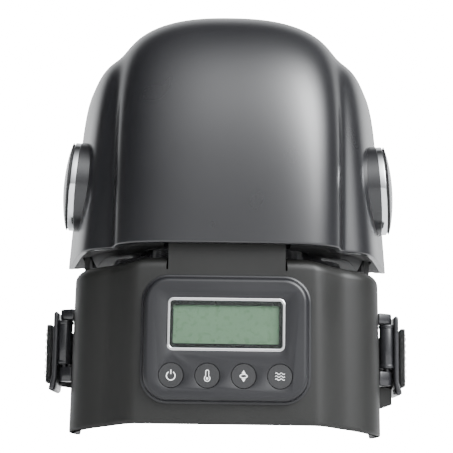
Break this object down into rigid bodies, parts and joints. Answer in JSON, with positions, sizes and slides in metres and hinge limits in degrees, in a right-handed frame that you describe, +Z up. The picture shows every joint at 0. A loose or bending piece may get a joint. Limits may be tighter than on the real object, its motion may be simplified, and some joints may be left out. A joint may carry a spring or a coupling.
{
  "type": "knee massager",
  "caption": "Wearable knee massager: hinged dome over the knee, curved shin shell with display and buttons, hook-on calf strap.",
  "frame": {"origin": "on the ground under the middle of the object's box", "axes": "+X to the right of someone who reads the display, +Y to the back of the leg, +Z up"},
  "size_m": [0.2222, 0.16, 0.2677],
  "materials": {
    "dome_gloss": "satin gloss, fine grain",
    "shell_matte": "matte, fine grain",
    "bezel_satin": "satin",
    "inner_plastic": "matte",
    "pad_fabric": "soft knitted fabric",
    "webbing": "woven webbing",
    "buckle_gloss": "gloss",
    "ring_chrome": "polished",
    "cap_gloss": "gloss",
    "frame_bright": "bright",
    "mask_black": "gloss",
    "lcd_green": "satin",
    "window_clear": "clear",
    "button_black": "satin",
    "steel": "turned",
    "weight_brass": "turned",
    "bush_nylon": "natural nylon",
    "air_bag_film": "soft film",
    "heater_copper": "heating film",
    "pump_plastic": "moulded",
    "board_green": "solder mask",
    "battery_wrap": "shrink wrap"
  },
  "bodies": {
    "shin": {"shin_shell": "shell_matte", "shin_tongue": "shell_matte", "shin_liner": "inner_plastic", "bottom_cover": "inner_plastic", "top_cover": "inner_plastic", "shin_pad": "pad_fabric", "shin_collar": "pad_fabric", "control_bezel": "bezel_satin", "display_frame": "frame_bright", "display_mask": "mask_black", "display_window": "window_clear", "lcd_panel": "lcd_green", "switches": "button_black", "control_board": "board_green", "battery_pack": "battery_wrap", "case_screws": "steel", "calf_strap": "webbing", "charging_inlet": "shell_matte", "side_arm_left": "inner_plastic", "side_arm_right": "inner_plastic", "pivot_bush_left": "bush_nylon", "pivot_bush_right": "bush_nylon", "strap_bracket_left": "buckle_gloss", "strap_bracket_right": "buckle_gloss"},
    "dome": {"dome_shell": "dome_gloss", "dome_liner": "inner_plastic", "rear_trim": "inner_plastic", "knee_pad": "pad_fabric", "heating_film": "heater_copper", "air_pump": "pump_plastic", "air_valve": "pump_plastic", "side_pad_left": "pad_fabric", "side_pad_right": "pad_fabric", "air_bag_left": "air_bag_film", "air_bag_right": "air_bag_film", "vibration_motor_left": "steel", "vibration_motor_right": "steel", "motor_clamp_left": "inner_plastic", "motor_clamp_right": "inner_plastic", "pivot_ring_left": "ring_chrome", "pivot_ring_right": "ring_chrome", "pivot_hub_left": "inner_plastic", "pivot_hub_right": "inner_plastic", "pivot_cap_left": "cap_gloss", "pivot_cap_right": "cap_gloss", "pivot_pin_left": "steel", "pivot_pin_right": "steel"},
    "power_key": {"button_power": "button_black"},
    "heat_key": {"button_heat": "button_black"},
    "pressure_key": {"button_pressure": "button_black"},
    "vibration_key": {"button_vibration": "button_black"},
    "buckle_left": {"hook_buckle_left": "buckle_gloss", "strap_end_left": "webbing"},
    "buckle_right": {"hook_buckle_right": "buckle_gloss", "strap_end_right": "webbing"},
    "weight_left": {"motor_weight_left": "weight_brass"},
    "weight_right": {"motor_weight_right": "weight_brass"}
  },
  "joints": [
    {"name": "knee_pivot", "type": "hinge", "parent": "shin", "child": "dome", "pos_m": [0, -0.005, 0.1548], "axis": [-1, 0, 0], "range_deg": [-3, 15]},
    {"name": "power_press", "type": "slide", "parent": "shin", "child": "power_key", "axis": [0, 1, 0], "range_m": [0, 0.001], "stiffness_N_per_m": 900},
    {"name": "heat_press", "type": "slide", "parent": "shin", "child": "heat_key", "axis": [0, 1, 0], "range_m": [0, 0.001], "stiffness_N_per_m": 900},
    {"name": "pressure_press", "type": "slide", "parent": "shin", "child": "pressure_key", "axis": [0, 1, 0], "range_m": [0, 0.001], "stiffness_N_per_m": 900},
    {"name": "vibration_press", "type": "slide", "parent": "shin", "child": "vibration_key", "axis": [0, 1, 0], "range_m": [0, 0.001], "stiffness_N_per_m": 900},
    {"name": "buckle_left_swing", "type": "hinge", "parent": "shin", "child": "buckle_left", "pos_m": [-0.0986, -0.016, 0.0545], "axis": [0, 0, 1], "range_deg": [0, 35]},
    {"name": "buckle_right_swing", "type": "hinge", "parent": "shin", "child": "buckle_right", "pos_m": [0.0986, -0.016, 0.0545], "axis": [0, 0, -1], "range_deg": [0, 35]},
    {"name": "weight_left_spin", "type": "hinge", "parent": "dome", "child": "weight_left", "pos_m": [-0.0806, 0.002, 0.2035], "axis": [0, 0, 1], "continuous": true},
    {"name": "weight_right_spin", "type": "hinge", "parent": "dome", "child": "weight_right", "pos_m": [0.0806, 0.002, 0.2035], "axis": [0, 0, 1], "continuous": true}
  ]
}
